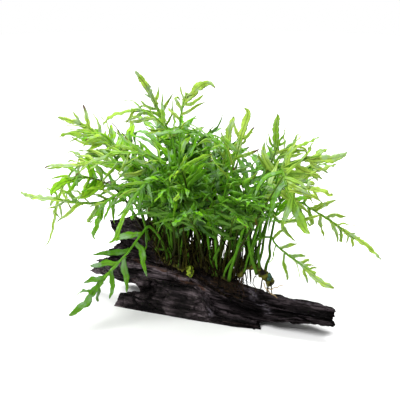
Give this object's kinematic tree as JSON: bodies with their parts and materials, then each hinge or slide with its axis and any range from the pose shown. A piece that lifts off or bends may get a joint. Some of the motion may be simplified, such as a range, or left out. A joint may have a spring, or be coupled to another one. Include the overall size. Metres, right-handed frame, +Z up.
{
  "type": "african water fern on driftwood",
  "caption": "Bushy tuft of pinnate water fern fronds on creeping rhizomes, rooted to a split, tapering piece of dark driftwood with a flat underside.",
  "frame": {"origin": "middle of the driftwood log's flat underside, on the surface that it rests on", "axes": "+Z up, +X to the picture's right and along the plant's longest reach, +Y away from the picture's front; the log lies at 27 degrees to X"},
  "size_m": [0.257, 0.1396, 0.174],
  "materials": {
    "driftwood": "water-soaked, near black, satin with fine grain",
    "driftwood_slab": "water-soaked, near black, satin with fine grain",
    "rhizome": "scaly olive brown with moss, matt",
    "bud_bright": "smooth yellow green, satin",
    "bud_dark": "smooth blue green, satin",
    "root_mat": "matted dark fibres, matt",
    "root": "pale straw root, matt",
    "frond": "thin living leaf, bright green, satin, lets light through",
    "frond_inner": "thin living leaf, deeper green, satin"
  },
  "bodies": {
    "root": {"bud_front": "bud_bright", "bud_right": "bud_dark", "driftwood_log": "driftwood", "driftwood_slab": "driftwood_slab", "frond_01": "frond", "frond_02": "frond", "frond_03": "frond", "frond_04": "frond", "frond_05": "frond", "frond_06": "frond", "frond_07": "frond", "frond_08": "frond", "frond_09": "frond", "frond_10": "frond", "frond_11": "frond", "frond_12": "frond", "frond_13": "frond", "frond_14": "frond", "frond_15": "frond", "frond_16": "frond", "frond_17": "frond", "frond_18": "frond", "frond_19": "frond", "frond_20": "frond", "frond_21": "frond", "frond_22": "frond", "frond_23": "frond", "frond_24": "frond", "frond_25": "frond_inner", "frond_26": "frond_inner", "frond_27": "frond_inner", "frond_28": "frond_inner", "frond_29": "frond_inner", "frond_30": "frond_inner", "frond_31": "frond_inner", "frond_32": "frond_inner", "frond_33": "frond_inner", "frond_34": "frond_inner", "frond_35": "frond_inner", "frond_36": "frond_inner", "frond_37": "frond_inner", "frond_38": "frond_inner", "frond_39": "frond_inner", "frond_40": "frond_inner", "frond_41": "frond_inner", "frond_42": "frond_inner", "frond_43": "frond_inner", "frond_44": "frond_inner", "frond_45": "frond_inner", "frond_46": "frond_inner", "rhizome_front": "rhizome", "rhizome_main": "rhizome", "rhizome_right": "rhizome", "root_1": "root_mat", "root_2": "root_mat", "root_3": "root", "root_4": "root", "root_mat": "root_mat"}
  },
  "joints": []
}
